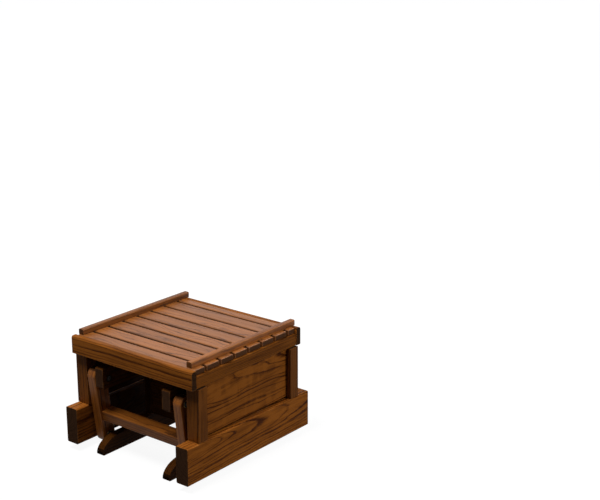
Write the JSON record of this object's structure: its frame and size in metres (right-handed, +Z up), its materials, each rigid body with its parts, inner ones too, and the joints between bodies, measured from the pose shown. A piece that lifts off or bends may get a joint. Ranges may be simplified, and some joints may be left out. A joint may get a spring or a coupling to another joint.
{
  "type": "glider ottoman",
  "caption": "Slatted wooden footstool that glides back and forth on swing links hung from a fixed base with two runners.",
  "frame": {"origin": "on the floor under the middle of the ottoman", "axes": "+X to the right along the front apron, +Y from front to back, the way it glides, +Z up"},
  "size_m": [0.485, 0.531, 0.3633],
  "materials": {
    "oak_top": "satin stained oak, lit from above",
    "oak_frame": "satin medium-dark stained oak",
    "oak_base": "satin medium-dark stained oak",
    "bolt_steel": "zinc plated",
    "bearing_brass": "dull brass"
  },
  "bodies": {
    "base": {"front_left_upper_bolt": "bolt_steel", "front_right_upper_bolt": "bolt_steel", "left_arm": "oak_base", "left_runner": "oak_base", "left_upright": "oak_base", "lower_cross_rail": "oak_base", "rear_left_upper_bolt": "bolt_steel", "rear_right_upper_bolt": "bolt_steel", "right_arm": "oak_base", "right_runner": "oak_base", "right_upright": "oak_base", "upper_cross_rail": "oak_base"},
    "front_swing": {"front_cross_bar": "oak_base", "front_left_link": "oak_base", "front_left_lower_bearing": "bearing_brass", "front_left_upper_bearing": "bearing_brass", "front_right_link": "oak_base", "front_right_lower_bearing": "bearing_brass", "front_right_upper_bearing": "bearing_brass"},
    "rear_swing": {"rear_cross_bar": "oak_base", "rear_left_link": "oak_base", "rear_left_lower_bearing": "bearing_brass", "rear_left_upper_bearing": "bearing_brass", "rear_right_link": "oak_base", "rear_right_lower_bearing": "bearing_brass", "rear_right_upper_bearing": "bearing_brass"},
    "stool": {"front_apron": "oak_frame", "front_left_lower_bolt": "bolt_steel", "front_left_post": "oak_frame", "front_right_lower_bolt": "bolt_steel", "front_right_post": "oak_frame", "left_bottom_board": "oak_frame", "left_panel": "oak_frame", "left_side_apron": "oak_frame", "left_strip": "oak_frame", "rear_apron": "oak_frame", "rear_left_lower_bolt": "bolt_steel", "rear_left_post": "oak_frame", "rear_right_lower_bolt": "bolt_steel", "rear_right_post": "oak_frame", "right_bottom_board": "oak_frame", "right_panel": "oak_frame", "right_side_apron": "oak_frame", "right_strip": "oak_frame", "slat_1": "oak_top", "slat_2": "oak_top", "slat_3": "oak_top", "slat_4": "oak_top", "slat_5": "oak_top", "slat_6": "oak_top", "slat_7": "oak_top", "slat_8": "oak_top"}
  },
  "joints": [
    {"name": "glide_front", "type": "hinge", "parent": "base", "child": "front_swing", "pos_m": [0, -0.2053, 0.2325], "axis": [1, 0, 0], "range_deg": [-12, 12]},
    {"name": "stool_tilt", "type": "hinge", "parent": "front_swing", "child": "stool", "pos_m": [0, -0.17969, 0.0395], "axis": [1, 0, 0], "range_deg": [-13.8, 13.8]},
    {"name": "glide_rear", "type": "hinge", "parent": "base", "child": "rear_swing", "pos_m": [0, 0.2053, 0.2325], "axis": [1, 0, 0], "range_deg": [-12.1, 12.1]}
  ],
  "couplings": [
    {"joint": "stool_tilt", "follows": "glide_front", "ratio": -1.1425},
    {"joint": "glide_rear", "follows": "glide_front", "ratio": 1}
  ]
}
